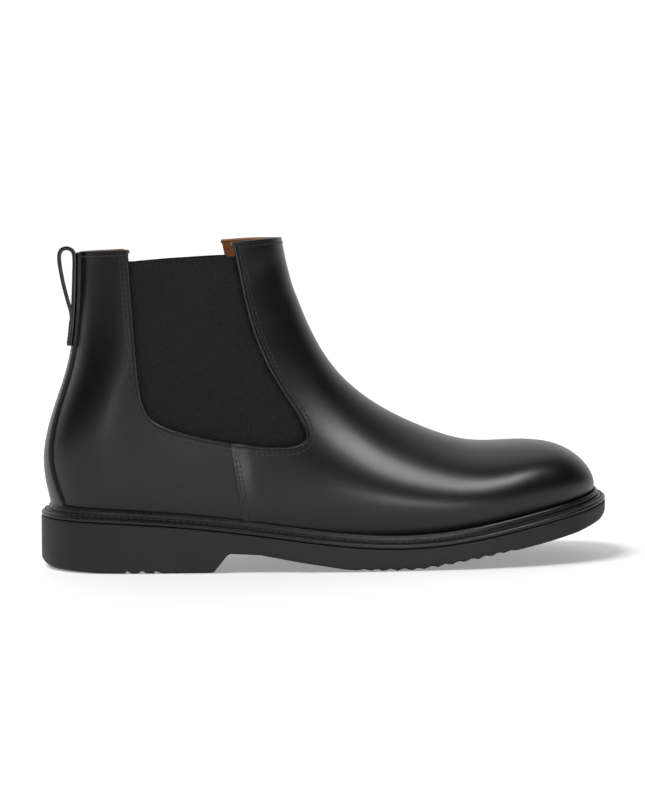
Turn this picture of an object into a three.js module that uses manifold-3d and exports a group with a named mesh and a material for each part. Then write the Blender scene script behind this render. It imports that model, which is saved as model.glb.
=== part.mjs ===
// A right chelsea boot: lasted leather upper with elastic gores, storm welt and rubber unit sole.
// X runs from heel to toe, -Y is the lateral side, +Z is up, and the sole stands on Z = 0.
import * as THREE from "three";
import { mergeVertices } from "three/addons/utils/BufferGeometryUtils.js";
import Module from "manifold-3d";

const wasm = await Module();
wasm.setup();

// Driving dimensions, in millimetres.
const LAST_LENGTH = 294.5; // upper, from heel to toe, along the welt
const LAST_WIDTH = 90; // upper, across the ball
const SHAFT_HEIGHT = 173; // ground to the front of the top line
const GAP = 0.3; // clearance between pieces that touch
const LEATHER = 1.3; // vamp, quarters and backstay
const GORE = 1.2; // elastic webbing
const STIFFENER = 1.0; // heel counter, toe puff and top-line tapes
const LINING = 0.9;
const GORE_MARGIN = 6; // how far a gore runs in under the leather round its window
const TAPE_WIDTH = 8;
const LAST_MARGIN = 14; // how far the upper is turned in under the insole
const INSOLE = 2.5;
const SOCK = 1.8;
const SOCK_TRIM = 0.8; // how much smaller than the insole board the sock liner is cut all round
const HEEL_PAD = 3;
const HEEL_PAD_INSET = 4; // how much smaller than the insole board the heel pad is cut
const LINING_DROP = 0.6; // how far the lining ends below the top line
const TAPE_DROP = 1;
const WELT_STACK = 7; // bead top of the welt to the top edge of the outsole
const WELT_WIDTH = 6.2; // how far the welt stands out from the upper
const SOLE_EDGE = 6.4; // how far the outsole stands out from the upper
const SOLE_BEVEL = 1.6;
const SOLE_BLOCK = 80; // height of the block that the sole is cut from
const THREAD = 0.7;
const STITCH_ROW = { inset: 2.2, lift: 0.15 }; // from the welt's outer edge, and over its lane
const SHANK = { length: 92, width: 12, thickness: 1.6 };
const LOOP = { width: 14, strip: 1.5, root: 131, foot: 15, crown: 168 };

// The reference last, which the tables below describe, and the scales that fit it to the sizes above.
const REFERENCE = { length: 294.5, width: 90, height: 173, rigid: 70 };
const stretch = (z) => THREE.MathUtils.smoothstep(z, REFERENCE.rigid, REFERENCE.height);
const fitX = (x) => (x * LAST_LENGTH) / REFERENCE.length;
const fitY = (y) => (y * LAST_WIDTH) / REFERENCE.width;
const fitZ = (z) => z + (SHAFT_HEIGHT - REFERENCE.height) * stretch(z);

// Cross-sections of the last, from the toe to above the top line. A section is an oval in a plane across
// the boot, from its front point on the ridge to its far end under the foot or on the back line.
//   front [x, z], end [x, z], half widths [lateral, medial], centre y [front, end], squareness
const SECTIONS = [
  { front: [147.4, 36.2], end: [147.4, 36.2], wide: [0, 0], centre: [8.5, 8.5], square: 0.03 },
  { front: [146.5, 42], end: [145.7, 32.6], wide: [11, 10.6], centre: [8.5, 8.5], square: 0.03 },
  { front: [142.9, 48.9], end: [141.5, 27.9], wide: [20.6, 19.8], centre: [8, 8.2], square: 0.03 },
  { front: [135.3, 55.9], end: [133.4, 22.2], wide: [29.2, 27.6], centre: [7, 7.2], square: 0.03 },
  { front: [122.5, 61.3], end: [120, 16.1], wide: [36.6, 34.2], centre: [5.8, 5.6], square: 0.03 },
  { front: [102.5, 62.9], end: [98.5, 10.4], wide: [42.6, 39.8], centre: [4.6, 3.6], square: 0.02 },
  { front: [77.5, 63.2], end: [71.5, 3.5], wide: [46.5, 43.5], centre: [4, 1.5], square: 0 },
  { front: [51, 71.2], end: [42.5, -3.4], wide: [47, 44], centre: [3.6, -1], square: -0.03 },
  { front: [26.5, 83.5], end: [9.7, -6.8], wide: [45, 40], centre: [3, -4], square: -0.04 },
  { front: [7.8, 98.2], end: [-27.7, -6.3], wide: [41, 36.5], centre: [2, -5.5], square: -0.02 },
  { front: [-4.4, 114], end: [-68.6, -3], wide: [37.5, 34.5], centre: [1.2, -4], square: 0.02 },
  { front: [-12.2, 129], end: [-108.6, 1.8], wide: [35.8, 34.2], centre: [0.5, -1.5], square: 0.05 },
  { front: [-16.4, 139], end: [-138.3, 13.4], wide: [35.2, 34.4], centre: [0, 0], square: 0.07 },
  { front: [-19.5, 147], end: [-147.1, 33.8], wide: [34.8, 34.2], centre: [0, 0], square: 0.07 },
  { front: [-21.8, 155], end: [-150.5, 56], wide: [34.3, 33.9], centre: [0, 0], square: 0.07 },
  { front: [-23.6, 162.5], end: [-145.8, 80.6], wide: [33.9, 33.6], centre: [0, 0], square: 0.06 },
  { front: [-25, 169.5], end: [-138, 104.5], wide: [33.6, 33.4], centre: [0, 0], square: 0.06 },
  { front: [-26, 176], end: [-133.9, 129], wide: [33.3, 33.2], centre: [0, 0], square: 0.06 },
  { front: [-26.6, 182], end: [-132.6, 154], wide: [33, 33], centre: [0, 0], square: 0.06 },
  { front: [-27, 188], end: [-132.4, 179], wide: [33, 33], centre: [0, 0], square: 0.06 },
];
const HEEL = 13; // the section that ends at the back of the heel, on the welt
const TOP = SECTIONS.length - 1;

// Height of the seam between upper and welt, from 160 mm behind the middle to 160 mm in front of it.
const SEAT = [34, 32.9, 30.2, 25.5, 20.2, 18.5, 23.2, 30.9, 38.6];
const SEAT_STEP = 40;

// The sole's underside, from the toe back to the heel, as [x, z].
const UNDERSIDE = [
  [159, 30.5], [154, 26.8], [151.4, 23.6], [146, 20.4], [130.5, 16], [105.7, 10.9], [80.8, 6.4], [66, 3.8],
  [54, 1.8], [40, 0], [18, 0], [2, 1.2], [-21, 5], [-41.5, 9], [-58.1, 9.8], [-65.8, 0], [-125, 0],
  [-147, 0.9], [-151.6, 2.2], [-158, 7],
];

// Side view of the gore's window, down its rear edge, round the bottom and up its front edge, as [x, z].
const WINDOW = [
  [-109.5, 190], [-108, 160], [-105.4, 121], [-102.7, 93], [-97.9, 80.8], [-89.7, 75.3], [-76.8, 71.2],
  [-61.3, 67.9], [-45.8, 65.7], [-33.2, 64.9], [-23.4, 65.7], [-18, 68.7], [-18.1, 74.5], [-22, 82.5],
  [-28.5, 92.6], [-36.5, 106.5], [-43.4, 123], [-48.1, 140],
];
const WINDOW_TOP = { lateral: [[-52.4, 160], [-58.6, 190]], medial: [[-52.1, 160], [-58.6, 190]] };
const GORE_TOP = {
  lateral: [[-160, 158.6], [-107, 160.5], [-78, 162.2], [-50, 163.4], [0, 165]],
  medial: [[-160, 157], [-101.8, 160.1], [-85, 161.6], [-58, 163.3], [0, 165]],
};
const TOP_LINE = {
  lateral: [[-160, 165], [-134, 165.4], [-108.6, 166.5], [-54.8, 170.4], [-34.3, 172.3], [-26, 173], [0, 175]],
  medial: [[-160, 165], [-134, 165.4], [-108.6, 166.5], [-54.8, 171.5], [-40, 172.6], [-26, 173], [0, 175]],
};
const SIDE_SEAM = [[-50.4, 0], [-50.4, 27.6], [-56.6, 66.5], [-75, 120], [-75, 260]];
const COUNTER_FRONT = [[-84, 0], [-84, 48], [-110, 66], [-120, 80], [-200, 84]];
const PUFF_BACK = [[106, 0], [106, 34], [114, 90]];
// Half widths of the backstay, from the top line down to the welt, as [half width, z].
const BACKSTAY = [[7, 165.1], [7.6, 120], [10, 84], [14, 52], [17.5, 34]];
const BACKSTAY_FRONT = -90; // the strip lies behind this x
const TAPE_ENDS = { front: -43, rear: -115 };
const FILLER_SPAN = [-4, 128];
const SHANK_CENTRE = { x: -54, y: -3 };
const PAD_FRONT = { start: -52, full: -84, edge: -64 };

// The welt's section: its rounded outer edge, measured from its width and its foot, then the inner end of the
// stitched lane, the groove and the bead, measured from the seam.
const WELT_EDGE = [[-0.6, 0], [0, 0.8], [0, 1.8], [-0.8, 2.6]];
const WELT_BEAD = [[2.9, -3.2], [2.3, -2.4], [2.2, -0.9], [1.4, -0.1], [0.6, -0.4]];

// The pull loop's strip: up along the backstay, as shares of its rise, then over the crown and back down to
// the root, as [x from the crown's front, share of the rise].
const LOOP_FRONT = [0.02, 0.3, 0.6, 0.86];
const LOOP_BACK = [
  [-1.2, 0.95], [-4.1, 0.98], [-7, 0.945], [-7.9, 0.82], [-6.2, 0.52], [-3.9, 0.26], [-1.62, 0.02],
];

// Colours and surface of the materials.
const FINISH = {
  calf: { color: 0x141416, roughness: 0.38 },
  strap: { color: 0x141416, roughness: 0.45 },
  tan: { color: 0xb06a38, roughness: 0.6 },
  webbing: { color: 0x1b1b1e, roughness: 0.92 },
  counter: { color: 0x8a6a4a, roughness: 0.8 },
  puff: { color: 0xcfc6b4, roughness: 0.8 },
  tape: { color: 0xd9d4c8, roughness: 0.85 },
  board: { color: 0xa98a5e, roughness: 0.85 },
  foam: { color: 0x4c5a68, roughness: 0.95 },
  cork: { color: 0xa9825a, roughness: 0.95 },
  steel: { color: 0x9a9ca0, roughness: 0.35, metalness: 1 },
  welt: { color: 0x1c1c1e, roughness: 0.35 },
  thread: { color: 0x26262a, roughness: 0.7 },
  rubber: { color: 0x232226, roughness: 0.75 },
};

// How finely the curves are cut into facets.
const LAST_STEPS = 26;
const SHAFT_STEPS = 9;
const ROUND_STEPS = 10;
const WINDOW_STEPS = 34;
const SOLE_STEPS = 36;
const LOOP_STEPS = 22;
const HALVINGS = 40; // of an interval, when a place on the last is searched for
const REACH = 400; // larger than the boot

const SIDES = { lateral: -1, medial: 1 };

// Natural cubic spline through values at the parameters first, first + 1, first + 2 ...
function spline(values, first = 0) {
  const n = values.length;
  const bend = new Array(n).fill(0);
  const pull = new Array(n).fill(0);
  for (let i = 1; i < n - 1; i++) {
    const turn = 6 * (values[i + 1] - 2 * values[i] + values[i - 1]);
    pull[i] = -1 / (4 + pull[i - 1]);
    bend[i] = (turn - bend[i - 1]) / (4 + pull[i - 1]);
  }
  for (let i = n - 2; i > 0; i--) bend[i] += pull[i] * bend[i + 1];
  return (t) => {
    const i = THREE.MathUtils.clamp(Math.floor(t - first), 0, n - 2);
    const b = t - first - i;
    const a = 1 - b;
    return (
      a * values[i] + b * values[i + 1] + ((a ** 3 - a) * bend[i] + (b ** 3 - b) * bend[i + 1]) / 6
    );
  };
}

// A column of the section table as a spline that is even or odd about the toe.
function column(pick, mirror) {
  const values = SECTIONS.map(pick);
  const ahead = values.slice(1).reverse().map(mirror);
  return spline([...ahead, ...values], -TOP);
}
const toe = SECTIONS[0].front;
const same = (v) => v;
const flipped = (v) => -v;
const overToe = (v) => 2 * toe[1] - v;
const last = {
  frontX: column((s) => s.front[0], same),
  frontZ: column((s) => s.front[1], overToe),
  endX: column((s) => s.end[0], same),
  endZ: column((s) => s.end[1], overToe),
  lateral: column((s) => s.wide[0], flipped),
  medial: column((s) => s.wide[1], flipped),
  frontY: column((s) => s.centre[0], same),
  endY: column((s) => s.centre[1], same),
  square: column((s) => s.square, same),
};
const seatCurve = spline(SEAT, -(SEAT.length - 1) / 2);
const seat = (x) => seatCurve(((x / SEAT_STEP) * REFERENCE.length) / LAST_LENGTH);

// Point of the last at section t and angle phi, from 0 on the ridge to +-PI at the section's end:
// phi is negative on the lateral side.
function lastPoint(t, phi) {
  const s = (1 - Math.cos(phi)) / 2;
  const k = last.square(t);
  const g = (Math.sin(phi) + k * Math.sin(3 * phi)) / (1 - k);
  const wide = phi < 0 ? last.lateral(t) : last.medial(t);
  const x = THREE.MathUtils.lerp(last.frontX(t), last.endX(t), s);
  const y = THREE.MathUtils.lerp(last.frontY(t), last.endY(t), s) + wide * g;
  const z = THREE.MathUtils.lerp(last.frontZ(t), last.endZ(t), s);
  return new THREE.Vector3(fitX(x), fitY(y), fitZ(z));
}

// Outward normal of the last, from small steps either way.
const POLE = 0.02; // the least section number that still has a round section
function lastNormal(t, phi) {
  const h = POLE;
  const at = Math.max(t, 2 * h);
  const along = lastPoint(at + h, phi).sub(lastPoint(at - h, phi));
  const round = lastPoint(at, phi + h).sub(lastPoint(at, phi - h));
  return round.cross(along).normalize();
}

// The first place between two others at which a condition no longer holds.
function firstPast(from, to, holds) {
  let [low, high] = [from, to];
  for (let i = 0; i < HALVINGS; i++) {
    const middle = (low + high) / 2;
    if (holds(middle)) low = middle;
    else high = middle;
  }
  return high;
}
const aboveSeat = (p) => p.z > seat(p.x);

// Angle at which section t meets the welt seam, or PI on the shaft, which closes at the back.
function seamAngle(t) {
  const at = Math.max(t, POLE);
  const end = lastPoint(at, Math.PI);
  if (end.z >= seat(end.x)) return Math.PI;
  return firstPast(0, Math.PI, (phi) => aboveSeat(lastPoint(at, phi)));
}

// The section at which the last leaves the welt, at the back of the heel, and the one whose back point lies
// at a height.
const heelEnd = firstPast(HEEL - 1, HEEL + 1, (t) => !aboveSeat(lastPoint(t, Math.PI)));
const backSection = (z) => firstPast(heelEnd, TOP, (t) => lastPoint(t, Math.PI).z < z);

// Grid lines of the last, each from a place on the ridge to one on the seam or the back line. Along the seam
// they crowd towards the back of the heel, so that its curve stays round, and on the ridge only half as much.
const seamStations = Array.from({ length: LAST_STEPS + 1 }, (_, i) =>
  heelEnd * Math.sin((Math.PI / 2) * (i / LAST_STEPS)),
);
const lines = [
  ...seamStations.map((t, i) => ({ ridge: (t + (heelEnd * i) / LAST_STEPS) / 2, base: t, seam: true })),
  ...Array.from({ length: SHAFT_STEPS }, (_, i) => {
    const t = THREE.MathUtils.lerp(heelEnd, TOP, (i + 1) / SHAFT_STEPS);
    return { ridge: t, base: t, seam: false };
  }),
];

// Closed solid of a triangle list, whose faces are turned outwards whichever way its rings ran.
function solid(triangles) {
  const inward = triangles.reduce((sum, [a, b, c]) => sum + a.dot(b.clone().cross(c)), 0) < 0;
  const turned = inward ? triangles.map(([a, b, c]) => [a, c, b]) : triangles;
  const raw = new THREE.BufferGeometry();
  const flat = turned.flat().flatMap((p) => [p.x, p.y, p.z]);
  raw.setAttribute("position", new THREE.Float32BufferAttribute(flat, 3));
  return manifoldOf(raw);
}

// Solid of a closed geometry. Points that coincide become one, and triangles that vanish are dropped.
function manifoldOf(geometry) {
  const bare = geometry.clone();
  bare.deleteAttribute("normal");
  bare.deleteAttribute("uv");
  const merged = mergeVertices(bare, 1e-4);
  const index = Array.from(merged.index.array);
  const kept = [];
  for (let i = 0; i < index.length; i += 3) {
    const [a, b, c] = index.slice(i, i + 3);
    if (a !== b && b !== c && c !== a) kept.push(a, b, c);
  }
  return new wasm.Manifold(
    new wasm.Mesh({
      numProp: 3,
      vertProperties: merged.attributes.position.array,
      triVerts: new Uint32Array(kept),
    }),
  );
}

// Solid through a row of rings with equal point counts. Each ring runs down one side and back up the other,
// so its ends are capped by strips from side to side. A closed row joins its last ring to its first.
function loft(rings, closed = false) {
  const triangles = [];
  const quad = (a, b, c, d) => triangles.push([a, b, c], [a, c, d]);
  const n = rings[0].length;
  const turns = closed ? rings.length : rings.length - 1;
  for (let i = 0; i < turns; i++) {
    const next = rings[(i + 1) % rings.length];
    for (let j = 0; j < n; j++) {
      const k = (j + 1) % n;
      // The diagonal mirrors from one side to the other.
      if (j < n / 2) quad(next[j], next[k], rings[i][k], rings[i][j]);
      else quad(rings[i][j], next[j], next[k], rings[i][k]);
    }
  }
  if (!closed) {
    for (let j = 0; j < n / 2 - 1; j++) {
      const [first, final] = [rings[0], rings[rings.length - 1]];
      quad(first[j], first[j + 1], first[n - 2 - j], first[n - 1 - j]);
      quad(final[j + 1], final[j], final[n - 1 - j], final[n - 2 - j]);
    }
  }
  return solid(triangles);
}

// The last shrunk by a depth, or grown by a negative one, with its floor at a level from the welt seam.
function lastSolid(depth, floor) {
  const side = (line, sign) => {
    const points = [];
    for (let j = 0; j <= ROUND_STEPS; j++) {
      const u = j / ROUND_STEPS;
      const t = THREE.MathUtils.lerp(line.ridge, line.base, u);
      const phi = sign * u * seamAngle(line.base);
      points.push(lastPoint(t, phi).addScaledVector(lastNormal(t, phi), -depth));
    }
    const edge = points[ROUND_STEPS].clone();
    if (line.seam) edge.z = seat(edge.x) + floor;
    return [...points, edge];
  };
  return loft(lines.map((line) => [...side(line, 1), ...side(line, -1).reverse()]));
}

// Points of the welt seam in plan, with their outward directions, round the lateral side from the toe to
// the heel and back round the medial side.
const seam = (() => {
  const half = (sign) =>
    seamStations.map((t) => lastPoint(t, sign * seamAngle(t)).setZ(0));
  const medial = half(1).slice(1, -1).reverse();
  const points = [...half(-1), ...medial];
  return points.map((p, i) => {
    const before = points[(i + points.length - 1) % points.length];
    const after = points[(i + 1) % points.length];
    const along = after.clone().sub(before).normalize();
    return { point: p, out: new THREE.Vector3(along.y, -along.x, 0).multiplyScalar(-1) };
  });
})();
const outline = (offset) => seam.map(({ point, out }) => point.clone().addScaledVector(out, offset));
const pairs = (points) =>
  seamStations.map((_, i) => [points[(points.length - i) % points.length], points[i]]);

// Plate inside a plan outline, between two heights that follow x.
function plate(offset, bottom, top) {
  const lift = (p, height) => new THREE.Vector3(p.x, p.y, height(p.x));
  const rings = pairs(outline(offset)).map(([m, l]) => [
    lift(m, top), lift(m, bottom), lift(l, bottom), lift(l, top),
  ]);
  return loft(rings);
}
const level = (h) => (x) => seat(x) + h;

// Band round the seam with a section given as [out from the seam, height from the seam].
const band = (section) =>
  loft(
    seam.map(({ point, out }) =>
      section.map(([u, v]) => {
        const p = point.clone().addScaledVector(out, u);
        return p.setZ(seat(p.x) + v);
      }),
    ),
    true,
  );

// Prism of an outline, either in side view [x, z] or in end view [y, z].
function prism(points, view = "side") {
  const shape = new THREE.Shape(points.map(([a, b]) => new THREE.Vector2(a, b)));
  const geometry = new THREE.ExtrudeGeometry(shape, { depth: 2 * REACH, bevelEnabled: false });
  geometry.translate(0, 0, -REACH);
  geometry.rotateX(Math.PI / 2);
  if (view === "end") geometry.rotateZ(Math.PI / 2);
  return manifoldOf(geometry);
}
function box(x0, x1, y0, y1, z0, z1) {
  const geometry = new THREE.BoxGeometry(x1 - x0, y1 - y0, z1 - z0);
  geometry.translate((x0 + x1) / 2, (y0 + y1) / 2, (z0 + z1) / 2);
  return manifoldOf(geometry);
}
const fitSide = (points) => points.map(([x, z]) => [fitX(x), fitZ(z)]);

// An open line moved sideways, to its left as it runs.
function shifted(points, distance) {
  return points.map(([x, z], i) => {
    const a = points[Math.max(i - 1, 0)];
    const b = points[Math.min(i + 1, points.length - 1)];
    const length = Math.hypot(b[0] - a[0], b[1] - a[1]);
    return [x - ((b[1] - a[1]) / length) * distance, z + ((b[0] - a[0]) / length) * distance];
  });
}

// A side-view line smoothed by a curve through its points.
function smooth(points, divisions) {
  const curve = new THREE.SplineCurve(points.map(([x, z]) => new THREE.Vector2(x, z)));
  return curve.getPoints(divisions).map((p) => [p.x, p.y]);
}

const windowLine = (side) => smooth(fitSide([...WINDOW, ...WINDOW_TOP[side]]), WINDOW_STEPS);
const halfSpace = (sign, gap = 0) => {
  const near = sign < 0 ? -REACH : gap;
  const far = sign < 0 ? -gap : REACH;
  return box(-REACH, REACH, near, far, -REACH, REACH);
};
function under(line, drop) {
  const top = shifted(fitSide(line), -drop);
  const [rear, front] = [top[0], top[top.length - 1]];
  return prism([...top, [REACH, front[1]], [REACH, -REACH], [-REACH, -REACH], [-REACH, rear[1]]]);
}
const bothSides = (make) =>
  make("lateral").intersect(halfSpace(SIDES.lateral)).add(make("medial").intersect(halfSpace(SIDES.medial)));
const underTopLine = (drop) => bothSides((side) => under(TOP_LINE[side], drop));
const windows = (grow) => bothSides((side) => prism(shifted(windowLine(side), -grow)));

const inFront = (line, gap) => prism([...shifted(fitSide(line), -gap), [REACH, REACH], [REACH, 0]]);
const behind = (line, gap) => prism([...shifted(fitSide(line), gap), [-REACH, REACH], [-REACH, 0]]);

// Layers of the upper, from the outside in, as [depth of the outer face, depth of the inner face].
const DEPTH = (() => {
  const middle = LEATHER + GAP;
  const inner = middle + Math.max(GORE, STIFFENER) + GAP;
  return {
    backstay: [-GAP - LEATHER, -GAP],
    leather: [0, LEATHER],
    gore: [middle, middle + GORE],
    stiffener: [middle, middle + STIFFENER],
    lining: [inner, inner + LINING],
  };
})();
const FLOOR = (() => {
  const leather = -WELT_STACK + GAP;
  const lining = leather + LEATHER + GAP;
  const insole = lining + LINING + GAP;
  const sock = insole + INSOLE + GAP;
  return { leather, lining, insole, sock };
})();
const BELOW = -40; // a floor well under the sole

// A layer that is turned in under the insole, or one that ends at the floor of the lining.
function turnedLayer([outer, inner], floor, thickness) {
  const shell = lastSolid(outer, floor).subtract(lastSolid(inner, floor + thickness));
  return shell.subtract(plate(-LAST_MARGIN, level(BELOW), level(FLOOR.insole - GAP / 2)));
}
const wallLayer = ([outer, inner]) => lastSolid(outer, FLOOR.lining).subtract(lastSolid(inner, BELOW));

const boot = new THREE.Group();
function node(name, body, finish) {
  const mesh = body.getMesh();
  const geometry = new THREE.BufferGeometry();
  geometry.setAttribute("position", new THREE.BufferAttribute(mesh.vertProperties, 3));
  geometry.setIndex(new THREE.BufferAttribute(mesh.triVerts, 1));
  geometry.computeVertexNormals();
  const made = new THREE.Mesh(geometry, new THREE.MeshStandardMaterial(finish));
  made.name = name;
  boot.add(made);
}

// Vamp and quarters: calf leather, cut round the gores' windows and butted at the side seams.
function makeUpper() {
  const skin = turnedLayer(DEPTH.leather, FLOOR.leather, LEATHER)
    .intersect(underTopLine(0))
    .subtract(windows(0));
  node("vamp", skin.intersect(inFront(SIDE_SEAM, GAP / 2)), FINISH.calf);
  const rear = skin.intersect(behind(SIDE_SEAM, GAP / 2));
  for (const [side, sign] of Object.entries(SIDES)) {
    node(`quarter_${side}`, rear.intersect(halfSpace(sign, GAP / 2)), FINISH.calf);
  }
}

// Backstay: the strip over the back seam, a little wider towards the heel.
function makeBackstay() {
  const right = BACKSTAY.map(([w, z]) => [w, fitZ(z)]);
  const left = right.map(([w, z]) => [-w, z]).reverse();
  const rear = box(-REACH, fitX(BACKSTAY_FRONT), -REACH, REACH, 0, REACH);
  const shell = lastSolid(DEPTH.backstay[0], BELOW).subtract(lastSolid(DEPTH.backstay[1], BELOW));
  node("backstay", shell.intersect(prism([...right, ...left], "end")).intersect(rear), FINISH.calf);
}

// Gores: elastic webbing between leather and lining, wider than the window by its seam margin.
function makeGores() {
  for (const [side, sign] of Object.entries(SIDES)) {
    const shape = windows(GORE_MARGIN).intersect(under(GORE_TOP[side], 0)).intersect(halfSpace(sign));
    const body = wallLayer(DEPTH.gore).intersect(shape);
    node(`gore_${side}`, body, FINISH.webbing);
  }
}

// Heel counter, toe puff and top-line tapes: stiffeners between leather and lining.
function makeStiffeners() {
  const layer = wallLayer(DEPTH.stiffener);
  const heel = layer.intersect(behind(COUNTER_FRONT, 0));
  node("heel_counter", heel, FINISH.counter);
  node("toe_puff", layer.intersect(inFront(PUFF_BACK, 0)), FINISH.puff);
  const tape = layer.intersect(underTopLine(TAPE_DROP)).subtract(underTopLine(TAPE_DROP + TAPE_WIDTH));
  const forward = box(fitX(TAPE_ENDS.front), REACH, -REACH, REACH, 0, REACH);
  const rearward = box(-REACH, fitX(TAPE_ENDS.rear), -REACH, REACH, 0, REACH);
  node("topline_tape_front", tape.intersect(forward), FINISH.tape);
  node("topline_tape_rear", tape.intersect(rearward), FINISH.tape);
}

// Linings: one piece over the forefoot and the front of the shaft, one round the heel.
function makeLinings() {
  const inner = turnedLayer(DEPTH.lining, FLOOR.lining, LINING)
    .intersect(underTopLine(LINING_DROP))
    .subtract(windows(0));
  node("vamp_lining", inner.intersect(inFront(SIDE_SEAM, GAP / 2)), FINISH.tan);
  node("quarter_lining", inner.intersect(behind(SIDE_SEAM, GAP / 2)), FINISH.tan);
}

// Inner bottom: insole board on the turned-in margins, heel pad and sock liner on it, cork and shank below.
function makeBottom() {
  const inside = -(DEPTH.lining[1] + GAP);
  const insoleTop = FLOOR.insole + INSOLE;
  node("insole_board", plate(inside, level(FLOOR.insole), level(insoleTop)), FINISH.board);
  const ramp = (x) =>
    THREE.MathUtils.smoothstep(fitX(PAD_FRONT.start) - x, 0, fitX(PAD_FRONT.start - PAD_FRONT.full));
  const padTop = (x) => seat(x) + FLOOR.sock + HEEL_PAD * ramp(x);
  const padArea = box(-REACH, fitX(PAD_FRONT.edge), -REACH, REACH, -REACH, REACH);
  const pad = plate(inside - HEEL_PAD_INSET, level(FLOOR.sock), padTop);
  node("heel_pad", pad.intersect(padArea), FINISH.foam);
  const sockFloor = (x) => seat(x) + FLOOR.sock + (HEEL_PAD + GAP) * ramp(x);
  node("sock_liner", plate(inside - SOCK_TRIM, sockFloor, (x) => sockFloor(x) + SOCK), FINISH.tan);
  const fillerArea = box(...FILLER_SPAN.map(fitX), -REACH, REACH, -REACH, REACH);
  const filler = plate(-LAST_MARGIN - GAP, level(FLOOR.leather), level(FLOOR.insole - GAP));
  node("bottom_filler", filler.intersect(fillerArea), FINISH.cork);
  const shankArea = box(
    fitX(SHANK_CENTRE.x) - SHANK.length / 2, fitX(SHANK_CENTRE.x) + SHANK.length / 2,
    SHANK_CENTRE.y - SHANK.width / 2, SHANK_CENTRE.y + SHANK.width / 2, 0, REACH,
  );
  const steel = plate(-LAST_MARGIN, level(FLOOR.insole - GAP - SHANK.thickness), level(FLOOR.insole - GAP));
  node("shank", steel.intersect(shankArea), FINISH.steel);
}

// Storm welt: a band right round the upper, with a bead against it, a stitched lane and a rounded edge.
function makeWelt() {
  const floor = -WELT_STACK + GAP;
  const edge = WELT_EDGE.map(([u, v]) => [WELT_WIDTH + u, floor + v]);
  node("welt", band([[GAP, floor], ...edge, ...WELT_BEAD]), FINISH.welt);
  const [outer, inner] = [edge[edge.length - 1], WELT_BEAD[0]];
  const [out, r] = [WELT_WIDTH - STITCH_ROW.inset, THREAD / 2];
  const lane = THREE.MathUtils.mapLinear(out, inner[0], outer[0], inner[1], outer[1]);
  const lift = lane + STITCH_ROW.lift + r;
  const thread = [[out, lift - r], [out + r, lift], [out, lift + r], [out - r, lift]];
  node("welt_stitching", band(thread), FINISH.thread);
}

// Unit sole: one rubber piece with its heel, its plan cut from a block and its profile cut from the side.
function makeOutsole() {
  const plan = outline(SOLE_EDGE).map((p) => new THREE.Vector2(p.x, p.y));
  const geometry = new THREE.ExtrudeGeometry(new THREE.Shape(plan), {
    depth: SOLE_BLOCK,
    bevelThickness: SOLE_BEVEL,
    bevelSize: SOLE_BEVEL,
    bevelOffset: -SOLE_BEVEL,
    bevelSegments: 2,
  });
  geometry.translate(0, 0, SOLE_BEVEL);
  const half = fitX((SEAT_STEP * (SEAT.length - 1)) / 2);
  const top = Array.from({ length: SOLE_STEPS + 1 }, (_, i) => {
    const x = THREE.MathUtils.lerp(-half, half, i / SOLE_STEPS);
    return [x, seat(x) - WELT_STACK];
  });
  const bottom = UNDERSIDE.map(([x, z]) => [fitX(x), z]);
  node("outsole", manifoldOf(geometry).intersect(prism([...top, ...bottom])), FINISH.rubber);
}

// Pull loop: a leather strip folded double. Its foot is sewn to the backstay, and the loop above it swings.
function makePullLoop() {
  const face = (z) => lastPoint(backSection(z), Math.PI).x - GAP - LEATHER - GAP;
  const half = LOOP.strip / 2;
  const root = fitZ(LOOP.root);
  const rise = fitZ(LOOP.crown) - root;
  const crown = face(root + rise) - half;
  const up = LOOP_FRONT.map((f) => [face(root + rise * f) - half, root + rise * f]);
  const down = LOOP_BACK.map(([dx, f]) => [crown + dx, root + rise * f]);
  const curve = smooth([...up, ...down], LOOP_STEPS);
  const ribbon = [...shifted(curve, half), ...shifted(curve, -half).reverse()];
  const across = (low, high) => box(-REACH, REACH, -LOOP.width / 2, LOOP.width / 2, low, high);
  node("pull_loop", prism(ribbon).intersect(across(root + GAP, REACH)), FINISH.strap);
  const levels = [root - LOOP.foot, root - LOOP.foot / 2, root];
  const inner = levels.map((z) => [face(z), z]);
  const outer = levels.map((z) => [face(z) - 2 * LOOP.strip, z]).reverse();
  node("pull_loop_foot", prism([...inner, ...outer]).intersect(across(0, root)), FINISH.strap);
}

makeUpper();
makeBackstay();
makeGores();
makeStiffeners();
makeLinings();
makeBottom();
makeWelt();
makeOutsole();
makePullLoop();

// The origin is the middle of the boot's box, on the ground.
const bounds = new THREE.Box3().setFromObject(boot);
boot.position.set(-(bounds.min.x + bounds.max.x) / 2, -(bounds.min.y + bounds.max.y) / 2, -bounds.min.z);
const part = new THREE.Group();
part.add(boot);

export default part;
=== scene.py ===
import math

import bmesh
import bpy
import numpy as np
from mathutils import Matrix, Vector


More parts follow.
